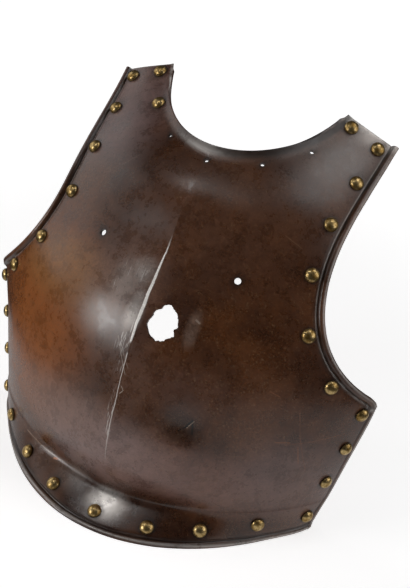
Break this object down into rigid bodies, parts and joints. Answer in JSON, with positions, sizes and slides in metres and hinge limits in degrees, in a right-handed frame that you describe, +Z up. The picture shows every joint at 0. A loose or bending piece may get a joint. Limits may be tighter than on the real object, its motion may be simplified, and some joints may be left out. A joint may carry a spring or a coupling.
{
  "type": "cuirass breastplate",
  "caption": "Forged steel cuirass breastplate with a middle ridge, turned neck and arm edges, a flared waist flange and a border of brass dome rivets, pierced by a ball.",
  "frame": {"origin": "on the floor, under the middle of the plate's bounding box; the plate stands on its hem as it would by itself, leaning back 16 degrees", "axes": "+Z up, +Y from the chest towards the wearer's back, +X to the wearer's left"},
  "size_m": [0.3716, 0.2176, 0.3385],
  "materials": {
    "browned_steel": "forged plate with an old brown oxide skin, semi-gloss, worn bright along the ridge and edges",
    "aged_brass": "domed brass with dark patina round the foot"
  },
  "bodies": {
    "root": {"breast_plate": "browned_steel", "rivet_arm_1_left": "aged_brass", "rivet_arm_1_right": "aged_brass", "rivet_arm_2_left": "aged_brass", "rivet_arm_2_right": "aged_brass", "rivet_arm_3_left": "aged_brass", "rivet_arm_3_right": "aged_brass", "rivet_arm_4_left": "aged_brass", "rivet_arm_4_right": "aged_brass", "rivet_arm_5_left": "aged_brass", "rivet_arm_5_right": "aged_brass", "rivet_arm_6_left": "aged_brass", "rivet_arm_6_right": "aged_brass", "rivet_armpit_left": "aged_brass", "rivet_armpit_right": "aged_brass", "rivet_flange_1_left": "aged_brass", "rivet_flange_1_right": "aged_brass", "rivet_flange_2_left": "aged_brass", "rivet_flange_2_right": "aged_brass", "rivet_flange_3_left": "aged_brass", "rivet_flange_3_right": "aged_brass", "rivet_flange_front": "aged_brass", "rivet_neck_right": "aged_brass", "rivet_shoulder_left": "aged_brass", "rivet_shoulder_right": "aged_brass", "rivet_side_1_left": "aged_brass", "rivet_side_1_right": "aged_brass", "rivet_side_2_left": "aged_brass", "rivet_side_2_right": "aged_brass", "rivet_waist_left": "aged_brass", "rivet_waist_right": "aged_brass"}
  },
  "joints": []
}
